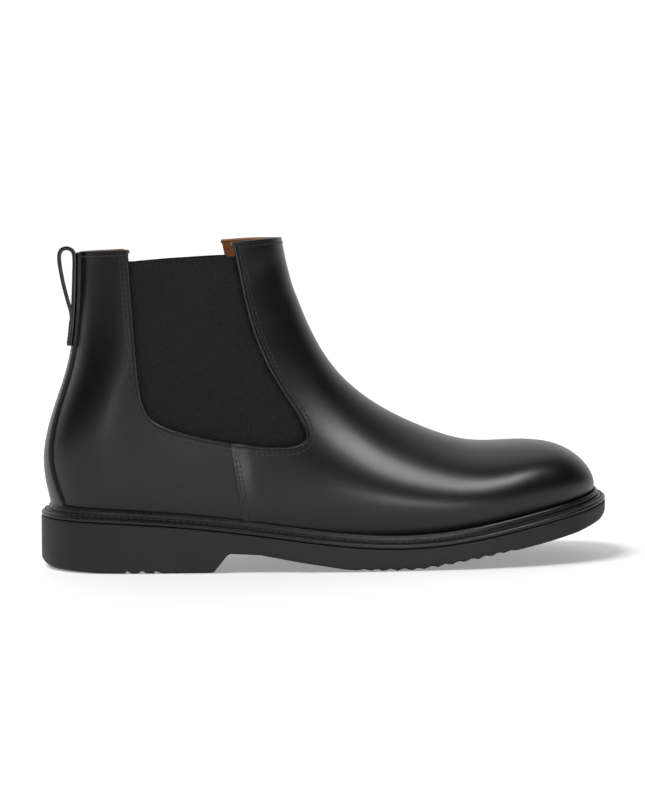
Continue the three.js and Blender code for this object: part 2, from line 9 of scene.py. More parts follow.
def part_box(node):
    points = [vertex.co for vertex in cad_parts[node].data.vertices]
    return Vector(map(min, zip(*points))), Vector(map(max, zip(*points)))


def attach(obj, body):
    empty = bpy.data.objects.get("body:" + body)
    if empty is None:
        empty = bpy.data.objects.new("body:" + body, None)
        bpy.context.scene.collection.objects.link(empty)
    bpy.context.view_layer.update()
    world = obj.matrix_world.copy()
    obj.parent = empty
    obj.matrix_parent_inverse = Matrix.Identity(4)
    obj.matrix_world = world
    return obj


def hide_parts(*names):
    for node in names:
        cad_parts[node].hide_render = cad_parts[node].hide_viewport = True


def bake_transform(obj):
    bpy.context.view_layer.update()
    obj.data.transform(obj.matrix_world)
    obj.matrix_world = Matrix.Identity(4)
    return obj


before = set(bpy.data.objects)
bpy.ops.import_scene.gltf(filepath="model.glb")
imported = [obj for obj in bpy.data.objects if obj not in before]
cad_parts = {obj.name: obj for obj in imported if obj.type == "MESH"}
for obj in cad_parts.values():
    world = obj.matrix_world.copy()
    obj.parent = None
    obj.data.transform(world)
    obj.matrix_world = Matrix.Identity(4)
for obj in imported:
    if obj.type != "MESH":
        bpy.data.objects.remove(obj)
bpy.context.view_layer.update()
SIDES = {"lateral": -1, "medial": 1}


# The last. A boot is built over a last, the form of the foot, and every layer of its upper is this surface at
# another depth. Its sections are ovals in planes across the boot, from the toe to above the top line: a front
# point on the ridge, a far end under the foot or at the back, and a half width on either side. All in mm.
FORM = ("front_x", "front_z", "end_x", "end_z", "lateral", "medial", "front_y", "end_y", "square")
SECTIONS = [
    (147.4, 36.2, 147.4, 36.2, 0, 0, 8.5, 8.5, 0.03),
    (146.5, 42, 145.7, 32.6, 11, 10.6, 8.5, 8.5, 0.03),
    (142.9, 48.9, 141.5, 27.9, 20.6, 19.8, 8, 8.2, 0.03),
    (135.3, 55.9, 133.4, 22.2, 29.2, 27.6, 7, 7.2, 0.03),
    (122.5, 61.3, 120, 16.1, 36.6, 34.2, 5.8, 5.6, 0.03),
    (102.5, 62.9, 98.5, 10.4, 42.6, 39.8, 4.6, 3.6, 0.02),
    (77.5, 63.2, 71.5, 3.5, 46.5, 43.5, 4, 1.5, 0),
    (51, 71.2, 42.5, -3.4, 47, 44, 3.6, -1, -0.03),
    (26.5, 83.5, 9.7, -6.8, 45, 40, 3, -4, -0.04),
    (7.8, 98.2, -27.7, -6.3, 41, 36.5, 2, -5.5, -0.02),
    (-4.4, 114, -68.6, -3, 37.5, 34.5, 1.2, -4, 0.02),
    (-12.2, 129, -108.6, 1.8, 35.8, 34.2, 0.5, -1.5, 0.05),
    (-16.4, 139, -138.3, 13.4, 35.2, 34.4, 0, 0, 0.07),
    (-19.5, 147, -147.1, 33.8, 34.8, 34.2, 0, 0, 0.07),
    (-21.8, 155, -150.5, 56, 34.3, 33.9, 0, 0, 0.07),
    (-23.6, 162.5, -145.8, 80.6, 33.9, 33.6, 0, 0, 0.06),
    (-25, 169.5, -138, 104.5, 33.6, 33.4, 0, 0, 0.06),
    (-26, 176, -133.9, 129, 33.3, 33.2, 0, 0, 0.06),
    (-26.6, 182, -132.6, 154, 33, 33, 0, 0, 0.06),
    (-27, 188, -132.4, 179, 33, 33, 0, 0, 0.06),
]
TOE_Z = 36.2
HEEL = 13  # the section that ends at the back of the heel, on the welt
TOP = len(SECTIONS) - 1
SEAT = [34, 32.9, 30.2, 25.5, 20.2, 18.5, 23.2, 30.9, 38.6]  # height of the welt seam every 40 mm
SEAT_STEP = 40
SEAM_LINES, SHAFT_LINES, ROUND_STEPS = 130, 50, 64
SHANK_X = -54  # middle of the shank on the last, which places the last in the boot's frame
HALVINGS = 40


def spline(values, first=0):
    """Natural cubic spline through values at first, first + 1 ..."""
    v = np.array(values, float)
    bend, pull = np.zeros(len(v)), np.zeros(len(v))
    for i in range(1, len(v) - 1):
        pull[i] = -1 / (4 + pull[i - 1])
        bend[i] = (6 * (v[i + 1] - 2 * v[i] + v[i - 1]) - bend[i - 1]) / (4 + pull[i - 1])
    for i in range(len(v) - 2, 0, -1):
        bend[i] += pull[i] * bend[i + 1]

    def at(t):
        t = np.asarray(t, float) - first
        i = np.clip(np.floor(t).astype(int), 0, len(v) - 2)
        b = t - i
        a = 1 - b
        return a * v[i] + b * v[i + 1] + ((a**3 - a) * bend[i] + (b**3 - b) * bend[i + 1]) / 6

    return at


def mirrored_column(name):
    """A column of the section table as a spline that is even or odd about the toe."""
    values = [row[FORM.index(name)] for row in SECTIONS]
    if name in SIDES:
        ahead = [-v for v in values[:0:-1]]
    elif name.endswith("_z"):
        ahead = [2 * TOE_Z - v for v in values[:0:-1]]
    else:
        ahead = values[:0:-1]
    return spline(ahead + values, -TOP)


form = {name: mirrored_column(name) for name in FORM}
seat_curve = spline(SEAT, -(len(SEAT) - 1) / 2)


def seat(x):
    return seat_curve(np.asarray(x, float) / SEAT_STEP)


def last_point(t, phi):
    """Point of the last at section t and angle phi, 0 on the ridge, negative on the lateral side."""
    t, phi = np.broadcast_arrays(np.asarray(t, float), np.asarray(phi, float))
    s = (1 - np.cos(phi)) / 2
    k = form["square"](t)
    across = (np.sin(phi) + k * np.sin(3 * phi)) / (1 - k)
    wide = np.where(phi < 0, form["lateral"](t), form["medial"](t))
    x, y, z = (form["front_" + a](t) * (1 - s) + form["end_" + a](t) * s for a in "xyz")
    return np.stack([x, y + wide * across, z], axis=-1)


def unit(v):
    return v / np.linalg.norm(v, axis=-1, keepdims=True)


def last_normal(t, phi, step=0.02):
    at = np.maximum(t, 2 * step)
    along = last_point(at + step, phi) - last_point(at - step, phi)
    around = last_point(at, phi + step) - last_point(at, phi - step)
    return unit(np.cross(around, along))


def first_past(low, high, holds):
    """The first place between low and high at which a condition no longer holds, for whole arrays."""
    low, high = np.array(low, float), np.array(high, float)
    for _ in range(HALVINGS):
        middle = (low + high) / 2
        ok = holds(middle)
        low, high = np.where(ok, middle, low), np.where(ok, high, middle)
    return high


def above_seat(p):
    return p[..., 2] > seat(p[..., 0])


POLE = 0.02  # the least section number that still has a round section


def seam_angle(t):
    """Angle at which a section meets the welt seam, or pi on the shaft, which closes at the back."""
    at = np.maximum(t, POLE)
    none, whole = np.zeros_like(at), np.full_like(at, np.pi)
    found = first_past(none, whole, lambda phi: above_seat(last_point(at, phi)))
    return np.where(above_seat(last_point(at, whole)), whole, found)


heel_end = float(first_past(HEEL - 1, HEEL + 1, lambda t: ~above_seat(last_point(t, np.pi))))


def on_last(xz, sign):
    """Section and angle of the last's points that lie at these places in side view, on one side."""
    xz = np.array(xz, float)

    def place(t):
        front = np.stack([form["front_x"](t), form["front_z"](t)], axis=-1)
        end = np.stack([form["end_x"](t), form["end_z"](t)], axis=-1)
        return xz - front, end - front

    def below(t):
        p, d = place(t)
        return p[:, 0] * d[:, 1] - p[:, 1] * d[:, 0] > 0

    t = first_past(np.full(len(xz), 0.05), np.full(len(xz), float(TOP)), below)
    p, d = place(t)
    share = np.clip((p * d).sum(1) / (d * d).sum(1), 0, 1)
    return t, sign * np.arccos(1 - 2 * share)


def lifted(t, phi, out):
    """Points of the last raised by a height, with their outward directions."""
    normal = last_normal(t, phi)
    return last_point(t, phi) + normal * np.asarray(out)[..., None], normal


low_corner, high_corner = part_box("shank")
shift_x = (low_corner.x + high_corner.x) / 2 - SHANK_X / 1000
low_corner, high_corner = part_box("pull_loop")
SHIFT = Vector((shift_x, (low_corner.y + high_corner.y) / 2, 0))


def new_piece(name, points, faces, slots=None):
    """A mesh of points in mm on the last, put in the boot's frame, with doubles merged and faces outwards."""
    mesh = bpy.data.meshes.new(name)
    mesh.from_pydata([tuple(p) for p in np.asarray(points) / 1000 + np.array(SHIFT)], [], faces)
    if slots is not None:
        mesh.polygons.foreach_set("material_index", slots)
    bm = bmesh.new()
    bm.from_mesh(mesh)
    bmesh.ops.remove_doubles(bm, verts=bm.verts, dist=2e-5)
    bmesh.ops.recalc_face_normals(bm, faces=bm.faces)
    bm.to_mesh(mesh)
    bm.free()
    piece = bpy.data.objects.new(name, mesh)
    bpy.context.scene.collection.objects.link(piece)
    return piece


def smooth_shading(piece, angle=35):
    bpy.ops.object.select_all(action="DESELECT")
    piece.select_set(True)
    bpy.context.view_layer.objects.active = piece
    bpy.ops.object.shade_smooth_by_angle(angle=math.radians(angle))


def dress(piece, material, body="boot", replaces=()):
    """Gives a finished piece its smooth shading, its material and its body, and hides the CAD nodes it stands
    for.
    """
    smooth_shading(piece)
    slots = piece.data.materials
    for i, finish in enumerate(material if isinstance(material, list) else [material]):
        if i < len(slots):
            slots[i] = finish
        else:
            slots.append(finish)
    if body:
        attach(piece, body)
    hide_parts(*replaces)
    return piece


# Smooth calf leather of the vamp, quarters, backstay and strap: aniline-black, polished to a satin, with a
# very fine grain and faint mottling. The same grain, at other strengths, is on the lining and the rubber.
def group_socket(group, name, kind, in_out, default=None):
    socket = group.interface.new_socket(name=name, in_out=in_out, socket_type=kind)
    if default is not None:
        socket.default_value = default
    return socket


def make_grain_group():
    """Grain of leather: small cells with soft borders, pores, and a slow mottling. All in metres."""
    group = bpy.data.node_groups.new("leather grain", "ShaderNodeTree")
    group_socket(group, "Cell size", "NodeSocketFloat", "INPUT", 0.0006)
    group_socket(group, "Height", "NodeSocketFloat", "OUTPUT")
    group_socket(group, "Mottle", "NodeSocketFloat", "OUTPUT")
    nodes, links = group.nodes, group.links
    given, out = nodes.new("NodeGroupInput"), nodes.new("NodeGroupOutput")
    where = nodes.new("ShaderNodeTexCoord")
    frequency = nodes.new("ShaderNodeMath")
    frequency.operation = "DIVIDE"
    frequency.inputs[0].default_value = 1
    links.new(given.outputs["Cell size"], frequency.inputs[1])
    warp = nodes.new("ShaderNodeTexNoise")
    warp.inputs["Scale"].default_value = 900
    links.new(where.outputs["Object"], warp.inputs["Vector"])
    push = nodes.new("ShaderNodeVectorMath")
    push.operation = "MULTIPLY_ADD"
    push.inputs[1].default_value = (0.0004, 0.0004, 0.0004)
    links.new(warp.outputs["Color"], push.inputs[0])
    links.new(where.outputs["Object"], push.inputs[2])
    cells = nodes.new("ShaderNodeTexVoronoi")
    cells.feature = "DISTANCE_TO_EDGE"
    links.new(push.outputs["Vector"], cells.inputs["Vector"])
    links.new(frequency.outputs[0], cells.inputs["Scale"])
    crease = nodes.new("ShaderNodeMapRange")
    crease.interpolation_type = "SMOOTHSTEP"
    crease.inputs["From Max"].default_value = 0.22
    links.new(cells.outputs["Distance"], crease.inputs["Value"])
    pores = nodes.new("ShaderNodeTexNoise")
    pores.inputs["Scale"].default_value = 2600
    pores.inputs["Detail"].default_value = 3
    links.new(where.outputs["Object"], pores.inputs["Vector"])
    total = nodes.new("ShaderNodeMath")
    total.operation = "MULTIPLY_ADD"
    total.inputs[1].default_value = 0.5
    links.new(pores.outputs["Fac"], total.inputs[0])
    links.new(crease.outputs["Result"], total.inputs[2])
    links.new(total.outputs[0], out.inputs["Height"])
    slow = nodes.new("ShaderNodeTexNoise")
    slow.inputs["Scale"].default_value = 55
    slow.inputs["Detail"].default_value = 6
    slow.inputs["Roughness"].default_value = 0.62
    links.new(where.outputs["Object"], slow.inputs["Vector"])
    links.new(slow.outputs["Fac"], out.inputs["Mottle"])
    return group


grain = make_grain_group()


def surface_material(name, dark, light, roughness, cell=0.0006, bump=0.00004, pattern=grain):
    """A material whose colour and roughness drift between two values, with a fine grain as its bump."""
    material = bpy.data.materials.new(name)
    material.use_nodes = True
    nodes, links = material.node_tree.nodes, material.node_tree.links
    shader = nodes["Principled BSDF"]
    grained = nodes.new("ShaderNodeGroup")
    grained.node_tree = pattern
    grained.inputs["Cell size"].default_value = cell
    colour = nodes.new("ShaderNodeMix")
    colour.data_type = "RGBA"
    colour.inputs["A"].default_value = (*dark, 1)
    colour.inputs["B"].default_value = (*light, 1)
    links.new(grained.outputs["Mottle"], colour.inputs["Factor"])
    links.new(colour.outputs["Result"], shader.inputs["Base Color"])
    gloss = nodes.new("ShaderNodeMapRange")
    gloss.inputs["From Min"].default_value = 0.3
    gloss.inputs["From Max"].default_value = 0.7
    gloss.inputs["To Min"].default_value = roughness[0]
    gloss.inputs["To Max"].default_value = roughness[1]
    links.new(grained.outputs["Mottle"], gloss.inputs["Value"])
    links.new(gloss.outputs["Result"], shader.inputs["Roughness"])
    relief = nodes.new("ShaderNodeBump")
    relief.inputs["Strength"].default_value = 1
    relief.inputs["Distance"].default_value = bump
    links.new(grained.outputs["Height"], relief.inputs["Height"])
    links.new(relief.outputs["Normal"], shader.inputs["Normal"])
    return material


CALF = ((0.0025, 0.0025, 0.0027), (0.006, 0.0058, 0.006))  # darkest and lightest
calf = surface_material("black calf", *CALF, (0.32, 0.36), 0.0012, 0.000012)
calf_shader = calf.node_tree.nodes["Principled BSDF"]
calf_shader.inputs["Coat Weight"].default_value = 0.12
calf_shader.inputs["Coat Roughness"].default_value = 0.22

# Vamp and quarters: three pieces of calf 1.3 mm thick, cut round the gores' windows. The vamp laps over the
# quarters at the side seam, where its edge is skived thinner and left proud.
LEATHER = 1.3
SKIRT = -5  # the leather ends this far under the welt seam
REACH = 400  # larger than the boot
WINDOW = [
    (-109.5, 190), (-108, 160), (-105.4, 121), (-102.7, 93), (-97.9, 80.8), (-89.7, 75.3), (-76.8, 71.2),
    (-61.3, 67.9), (-45.8, 65.7), (-33.2, 64.9), (-23.4, 65.7), (-18, 68.7), (-18.1, 74.5), (-22, 82.5),
    (-28.5, 92.6), (-36.5, 106.5), (-43.4, 123), (-48.1, 140),
]
WINDOW_TOP = {"lateral": [(-52.4, 160), (-58.6, 190)], "medial": [(-52.1, 160), (-58.6, 190)]}
REAR_TOP = [(-160, 165), (-134, 165.4), (-108.6, 166.5)]
TOP_LINE = {
    "lateral": REAR_TOP + [(-54.8, 170.4), (-34.3, 172.3), (-26, 173), (0, 175)],
    "medial": REAR_TOP + [(-54.8, 171.5), (-40, 172.6), (-26, 173), (0, 175)],
}
SIDE_SEAM = [(-50.4, -20), (-50.4, 27.6), (-56.6, 66.5), (-75, 120), (-75, REACH)]
LAP = 0.9  # how far the vamp's edge stands over the quarter
LAP_WIDTH = 9
SKIVE = 1.3  # how much of the lap is pared off the leather's inner face
CURVE_STEPS = 24  # between two points of a line's table
WINDOW_STEP = 1.2


def smoothstep(v, low, high):
    u = np.clip((v - low) / (high - low), 0, 1)
    return u * u * (3 - 2 * u)


def side_seam_x(z):
    return np.interp(z, [z for _, z in SIDE_SEAM], [x for x, _ in SIDE_SEAM])


def last_grid():
    """Lines of the last from the lateral seam over the ridge to the medial seam, and up the shaft."""
    i = np.arange(SEAM_LINES + 1) / SEAM_LINES
    base = heel_end * np.sin(np.pi / 2 * i)
    ridge = (base + heel_end * i) / 2
    shaft = heel_end + (TOP - heel_end) * np.arange(1, SHAFT_LINES + 1) / SHAFT_LINES
    base, ridge = np.concatenate([base, shaft]), np.concatenate([ridge, shaft])
    u = np.linspace(-1, 1, 2 * ROUND_STEPS + 1)
    t = ridge[:, None] + (base - ridge)[:, None] * np.abs(u)
    return t, u * seam_angle(base)[:, None]


GRID_T, GRID_PHI = last_grid()
GRID_POINT = last_point(GRID_T, GRID_PHI)
GRID_NORMAL = last_normal(GRID_T, GRID_PHI)


def grid_with_skirt(depth):
    """The last's grid at a depth, with a row below each side that drops to the welt."""
    points = GRID_POINT - GRID_NORMAL * depth[..., None]
    points[0] = points[0].mean(axis=0)
    skirts = points[:, [0, -1]].copy()
    skirts[: SEAM_LINES + 1, :, 2] = seat(skirts[: SEAM_LINES + 1, :, 0]) + SKIRT
    return np.concatenate([skirts[:, :1], points, skirts[:, 1:]], axis=1)


def make_shell(name, outer, inner):
    """A closed layer between two depths, each a number or one depth for each point of the grid."""
    layers = [grid_with_skirt(np.broadcast_to(d, GRID_T.shape)) for d in (outer, inner)]
    rows, columns = layers[0].shape[:2]
    size = rows * columns
    faces, slots = [], []

    def quad(a, b, c, d, slot):
        faces.append((a, b, c, d))
        slots.append(slot)

    for i in range(rows - 1):
        for j in range(columns - 1):
            if i >= SEAM_LINES and j in (0, columns - 2):
                continue
            a = i * columns + j
            quad(a, a + 1, a + columns + 1, a + columns, 0)
            quad(size + a, size + a + columns, size + a + columns + 1, size + a + 1, 1)
        if i < SEAM_LINES:
            for j in (0, columns - 1):
                a = i * columns + j
                quad(a, a + columns, size + a + columns, size + a, 0)
    for j in range(1, columns - 2):
        a = (rows - 1) * columns + j
        quad(a, a + 1, size + a + 1, size + a, 0)
    return new_piece(name, np.concatenate([layer.reshape(-1, 3) for layer in layers]), faces, slots)


def smooth_line(points, step):
    """Curve through points of any dimension, cut evenly along its length."""
    p = np.array(points, float)
    p = np.vstack([2 * p[0] - p[1], p, 2 * p[-1] - p[-2]])
    u = np.linspace(0, 1, CURVE_STEPS, endpoint=False)[:, None]
    parts = [
        (2 * b + (c - a) * u + (2 * a - 5 * b + 4 * c - d) * u**2 + (3 * b - a - 3 * c + d) * u**3) / 2
        for a, b, c, d in zip(p, p[1:], p[2:], p[3:])
    ]
    return even(np.vstack(parts + [p[-2:-1]]), step)


def even(line, step):
    """A line's points put evenly along its length, about a step apart."""
    run = np.concatenate([[0], np.cumsum(np.linalg.norm(np.diff(line, axis=0), axis=1))])
    at = np.linspace(0, run[-1], max(2, round(run[-1] / step) + 1))
    return np.stack([np.interp(at, run, column) for column in line.T], axis=1)


def shifted(line, distance):
    """A side-view line moved to its left as it runs."""
    way = unit(np.gradient(line, axis=0))
    return line + np.stack([-way[:, 1], way[:, 0]], axis=1) * distance


def prism(outline, view="side", near=-REACH, far=REACH):
    """Cutter with an outline in side view [x, z] or end view [y, z], between two places on the third axis."""
    rings = [[(u, y, v) if view == "side" else (y, u, v) for u, v in outline] for y in (near, far)]
    n = len(outline)
    faces = [tuple(range(n)), tuple(range(n, 2 * n))[::-1]]
    faces += [(i, (i + 1) % n, n + (i + 1) % n, n + i) for i in range(n)]
    return new_piece("cutter", rings[0] + rings[1], faces)


def cut(piece, cutter, operation="DIFFERENCE"):
    """Takes a cutter from a piece, or keeps what both share, and removes the cutter."""
    modifier = piece.modifiers.new("cut", "BOOLEAN")
    modifier.object = cutter
    modifier.operation = operation
    modifier.solver = "MANIFOLD"
    bpy.context.view_layer.objects.active = piece
    bpy.ops.object.modifier_apply(modifier="cut")
    bpy.data.objects.remove(cutter)
    return piece


def half(side):
    """The two ends of a prism that cuts one side only."""
    return (-REACH, 0) if SIDES[side] < 0 else (0, REACH)


def window_line(side, step=WINDOW_STEP):
    return smooth_line(WINDOW + WINDOW_TOP[side], step)


def cut_top(piece, line, drop=0):
    """Cuts a piece off above a line in side view, on either side of the boot."""
    for side in SIDES:
        above = [(x, z - drop) for x, z in line[side]]
        above = [(-REACH, above[0][1])] + above + [(REACH, above[-1][1]), (REACH, REACH), (-REACH, REACH)]
        cut(piece, prism(above, "side", *half(side)))


def cut_windows(piece):
    for side in SIDES:
        cut(piece, prism(window_line(side), "side", *half(side)))


IN_FRONT = SIDE_SEAM + [(REACH, REACH), (REACH, -20)]
BEHIND = SIDE_SEAM + [(-REACH, REACH), (-REACH, -20)]
EVERYWHERE = [(-REACH, -REACH), (REACH, -REACH), (REACH, REACH), (-REACH, REACH)]
seam_distance = GRID_POINT[..., 0] - side_seam_x(GRID_POINT[..., 2])
lap = 1 - smoothstep(seam_distance, 0, LAP_WIDTH)
vamp = make_shell("vamp_leather", -LAP * lap, LEATHER - SKIVE * LAP * lap)
cut_top(vamp, TOP_LINE)
cut_windows(vamp)
cut(vamp, prism(BEHIND))
dress(vamp, calf, replaces=["vamp"])

skin = make_shell("quarters", 0, LEATHER)
cut_top(skin, TOP_LINE)
cut_windows(skin)
cut(skin, prism(IN_FRONT))
for side in SIDES:
    quarter = skin.copy()
    quarter.data = skin.data.copy()
    quarter.name = f"quarter_leather_{side}"
    bpy.context.scene.collection.objects.link(quarter)
    cut(quarter, prism(EVERYWHERE, "side", *half(side)), "INTERSECT")
    dress(quarter, calf, replaces=[f"quarter_{side}"])
bpy.data.objects.remove(skin)

# Backstay: a strip of the same calf laid over the back seam, wider towards the heel, with raw cut edges.
BACKSTAY = [(7, 165.1), (7.6, 120), (10, 84), (14, 52), (17.5, 34), (18.6, 28)]  # half width, height
BACKSTAY_DEPTH = (-1.5, 0.2)
BACKSTAY_FRONT = -90  # the strip lies behind this x
STRIP_STEP = 3
backstay = make_shell("backstay_strip", *BACKSTAY_DEPTH)
strip_side = smooth_line(BACKSTAY, STRIP_STEP)
strip_outline = [(w, z) for w, z in strip_side] + [(-w, z) for w, z in strip_side[::-1]]
cut(backstay, prism(strip_outline, "end", -REACH, BACKSTAY_FRONT), "INTERSECT")
dress(backstay, calf, replaces=["backstay"])

# Gores: knitted elastic webbing with a faint rib, black outside and dark grey inside. Each is cut flat and
# sewn in under the leather round its window, stretched over the last.
GORE_DEPTH = (1.5, 2.7)
GORE_MARGIN = 4  # how far a gore runs in under the leather
GORE_TOP = {
    "lateral": [(-160, 158.6), (-107, 160.5), (-78, 162.2), (-50, 163.4), (0, 165)],
    "medial": [(-160, 157), (-101.8, 160.1), (-85, 161.6), (-58, 163.3), (0, 165)],
}


def make_webbing_group():
    """Elastic webbing: ribs along the strip, crossed by short floats of yarn, with loose fibres."""
    group = bpy.data.node_groups.new("elastic webbing", "ShaderNodeTree")
    group_socket(group, "Cell size", "NodeSocketFloat", "INPUT", 0.0008)
    group_socket(group, "Height", "NodeSocketFloat", "OUTPUT")
    group_socket(group, "Mottle", "NodeSocketFloat", "OUTPUT")
    nodes, links = group.nodes, group.links
    given, out = nodes.new("NodeGroupInput"), nodes.new("NodeGroupOutput")
    where = nodes.new("ShaderNodeTexCoord")
    lengthen = nodes.new("ShaderNodeMapping")
    lengthen.inputs["Scale"].default_value = (1, 0.8, 0.8)
    links.new(where.outputs["Object"], lengthen.inputs["Vector"])
    frequency = nodes.new("ShaderNodeMath")
    frequency.operation = "DIVIDE"
    frequency.inputs[0].default_value = 1
    links.new(given.outputs["Cell size"], frequency.inputs[1])
    loops = nodes.new("ShaderNodeTexVoronoi")
    loops.inputs["Randomness"].default_value = 0.55
    links.new(lengthen.outputs["Vector"], loops.inputs["Vector"])
    links.new(frequency.outputs[0], loops.inputs["Scale"])
    rib = nodes.new("ShaderNodeTexWave")
    rib.inputs["Scale"].default_value = 330
    rib.inputs["Distortion"].default_value = 7
    rib.inputs["Detail"].default_value = 2
    rib.inputs["Detail Scale"].default_value = 2
    links.new(where.outputs["Object"], rib.inputs["Vector"])
    total = nodes.new("ShaderNodeMath")
    total.operation = "MULTIPLY_ADD"
    total.inputs[1].default_value = -2.4
    links.new(loops.outputs["Distance"], total.inputs[0])
    links.new(rib.outputs["Fac"], total.inputs[2])
    links.new(total.outputs[0], out.inputs["Height"])
    fibres = nodes.new("ShaderNodeTexNoise")
    fibres.inputs["Scale"].default_value = 700
    fibres.inputs["Detail"].default_value = 4
    fibres.inputs["Roughness"].default_value = 0.7
    links.new(where.outputs["Object"], fibres.inputs["Vector"])
    links.new(fibres.outputs["Fac"], out.inputs["Mottle"])
    return group


webbing = make_webbing_group()
BLACK_YARN = ((0.0002, 0.0002, 0.0003), (0.024, 0.0235, 0.025))
GREY_YARN = ((0.02, 0.019, 0.018), (0.07, 0.065, 0.06))
gore_black = surface_material("black elastic", *BLACK_YARN, (0.8, 0.95), 0.0008, 0.00022, webbing)
gore_inside = surface_material("grey elastic", *GREY_YARN, (0.8, 0.95), 0.0008, 0.0002, webbing)
gore_layer = make_shell("gores", *GORE_DEPTH)
cut_top(gore_layer, GORE_TOP)
for side in SIDES:
    gore = gore_layer.copy()
    gore.data = gore_layer.data.copy()
    gore.name = f"gore_webbing_{side}"
    bpy.context.scene.collection.objects.link(gore)
    cut(gore, prism(shifted(window_line(side), -GORE_MARGIN), "side", *half(side)), "INTERSECT")
    dress(gore, [gore_black, gore_inside], replaces=[f"gore_{side}"])
bpy.data.objects.remove(gore_layer)

# Linings: tan leather, one piece over the forefoot and the front of the shaft and one round the heel.
LINING_DEPTH = (3.1, 4.0)
LINING_DROP = 0.4
TAN = ((0.36, 0.125, 0.045), (0.56, 0.22, 0.09))
tan_leather = surface_material("tan lining", *TAN, (0.5, 0.62), 0.0009)
LININGS = {"vamp_lining": BEHIND, "quarter_lining": IN_FRONT}
for node, taken in LININGS.items():
    lining = make_shell(f"{node}_leather", *LINING_DEPTH)
    cut_top(lining, TOP_LINE, LINING_DROP)
    cut_windows(lining)
    cut(lining, prism(taken))
    dress(lining, tan_leather, replaces=[node])


# Folded edges: the leather is turned over and rolled along the gores' windows and the top line, and the
# lining is rolled against it inside the mouth.
def ring_faces(rings, n, closed=False):
    """Faces between rings of n points each. If closed, the last ring also joins the first."""
    return [
        (i * n + j, i * n + (j + 1) % n, (i + 1) % rings * n + (j + 1) % n, (i + 1) % rings * n + j)
        for i in range(rings if closed else rings - 1)
        for j in range(n)
    ]


def sweep(name, centre, across, up, section):
    """A bar along a line, its section given as [across, up]. The two directions may carry a scale."""
    rings = [c + section[:, :1] * a + section[:, 1:] * u for c, a, u in zip(centre, across, up)]
    n, turns = len(section), len(rings)
    ends = [tuple(range(n)), tuple(range((turns - 1) * n, turns * n))[::-1]]
    return new_piece(name, np.concatenate(rings), ring_faces(turns, n) + ends)


def oval(half_width, half_height, points=14):
    a = np.arange(points) / points * 2 * np.pi
    return np.stack([half_width * np.cos(a), half_height * np.sin(a)], axis=1)


def heading(points):
    """Directions along a line."""
    return unit(np.gradient(points, axis=0))


def top_z(x, side):
    return np.interp(x, [x for x, _ in TOP_LINE[side]], [z for _, z in TOP_LINE[side]])


def lap_lift(line):
    """How far the vamp's lap raises what lies over it, at places in side view."""
    ahead = line[:, 0] - side_seam_x(line[:, 1])
    return LAP * (1 - smoothstep(ahead, 0, LAP_WIDTH)) * (ahead > 0)


FINE_STEP = 0.8  # along a window's line, for what is laid along it
ROLL = {"half_width": 0.95, "half_height": 0.75, "inset": 0.75, "lift": 0.05, "end": 0.3}
CORNER = {"place": (-17, 69), "reach": 14, "extra": 0.45}  # the roll is fullest round this corner of the gore
for side, sign in SIDES.items():
    line = shifted(window_line(side, FINE_STEP), -ROLL["inset"])
    line = line[line[:, 1] < top_z(line[:, 0], side) - ROLL["end"]]
    points, normal = lifted(*on_last(line, sign), np.full(len(line), ROLL["lift"]))
    points = points + normal * lap_lift(line)[:, None]
    across = unit(np.cross(heading(points), normal))
    distance = ((line - CORNER["place"]) / CORNER["reach"]) ** 2
    full = 1 + CORNER["extra"] * np.exp(-distance.sum(1))[:, None]
    section = oval(ROLL["half_width"], ROLL["half_height"])
    roll = sweep(f"gore_roll_{side}", points, across * full, normal * full, section)
    dress(roll, calf)

SHAFT_FROM = 10  # a section that is wholly under the top line
BACK_FROM = 8  # a section whose back point is lower than the backstay


def top_section(phi, side, drop):
    """The sections at which the last reaches the top line, for these angles."""
    low, high = np.full(len(phi), SHAFT_FROM), np.full(len(phi), TOP)

    def under(t):
        p = last_point(t, phi)
        return p[:, 2] < top_z(p[:, 0], side) - drop

    return first_past(low, high, under)


def window_angle(side, at_front):
    """Angle at which the gore's window meets the top line."""
    line = window_line(side, FINE_STEP)
    line = line[line[:, 1] < top_z(line[:, 0], side)]
    _, phi = on_last(line[[-1 if at_front else 0]], 1)
    return float(phi[0])


RIM_STEPS = 90


def rim_points(at_front, depth, drop):
    """Points of the top line from the lateral window to the medial one, at a depth, with directions out."""
    middle = 0 if at_front else math.pi
    points, normals = [], []
    for side in SIDES:
        run = np.linspace(window_angle(side, at_front), middle, RIM_STEPS)
        phi = SIDES[side] * run
        t = top_section(phi, side, drop)
        normal = last_normal(t, phi)
        p = last_point(t, phi) - normal * depth
        order = slice(None) if side == "lateral" else slice(-2, None, -1)
        points.append(p[order])
        normals.append(normal[order])
    return np.concatenate(points), np.concatenate(normals)


# Each rim's finish, slot, depth in from the last's surface, drop below the top line, and section.
RIMS = {
    "leather_rim": (calf, "black_calf", 1.2, 0.7, oval(1.25, 0.95)),
    "lining_rim": (tan_leather, "tan_lining", 3.35, 0.9, oval(0.8, 0.9)),
}
for name, (finish, slot, depth, drop, section) in RIMS.items():
    for where, at_front in (("front", True), ("rear", False)):
        points, normal = rim_points(at_front, depth, drop)
        rim = sweep(f"{name}_{where}", points, normal, unit(np.cross(normal, heading(points))), section)
        dress(rim, finish)


